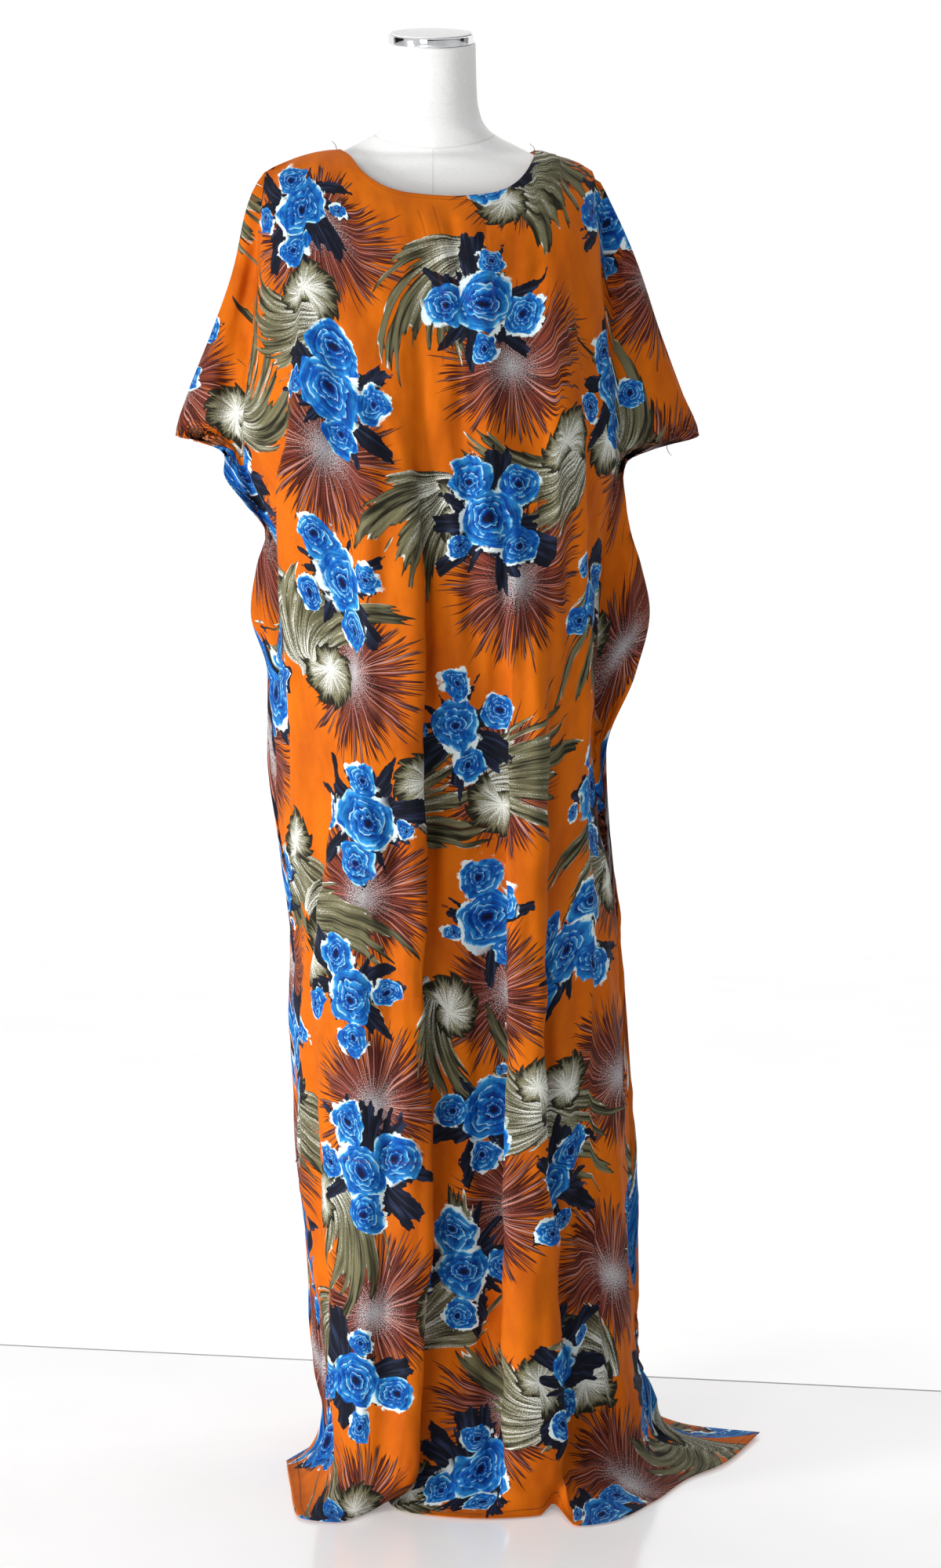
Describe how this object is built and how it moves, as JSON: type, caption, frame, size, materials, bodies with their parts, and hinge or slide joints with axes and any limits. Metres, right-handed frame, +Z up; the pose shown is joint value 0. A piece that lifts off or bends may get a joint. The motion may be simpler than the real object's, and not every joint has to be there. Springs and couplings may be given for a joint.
{
  "type": "bati dress on a limbless dress form",
  "caption": "Floor-length wide-sleeved printed cotton dress with a scooped neck, hanging in deep folds on a limbless dress form.",
  "frame": {"origin": "centre of the underside of the dress form's round base, on the floor", "axes": "+Z up along the pole, the front of the dress faces -Y, +X to the right of someone who looks at the front"},
  "size_m": [0.7217, 0.5626, 1.7504],
  "materials": {
    "printed_cotton": "printed cotton, matt",
    "form_linen": "white linen, matt",
    "chrome_rim": "polished",
    "white_steel": "satin"
  },
  "bodies": {
    "root": {"front_panel": "printed_cotton", "back_panel": "printed_cotton", "form_torso": "form_linen", "neck_cap_top": "form_linen", "neck_cap_rim": "chrome_rim", "stand_pole": "white_steel", "stand_base": "white_steel"}
  },
  "joints": []
}
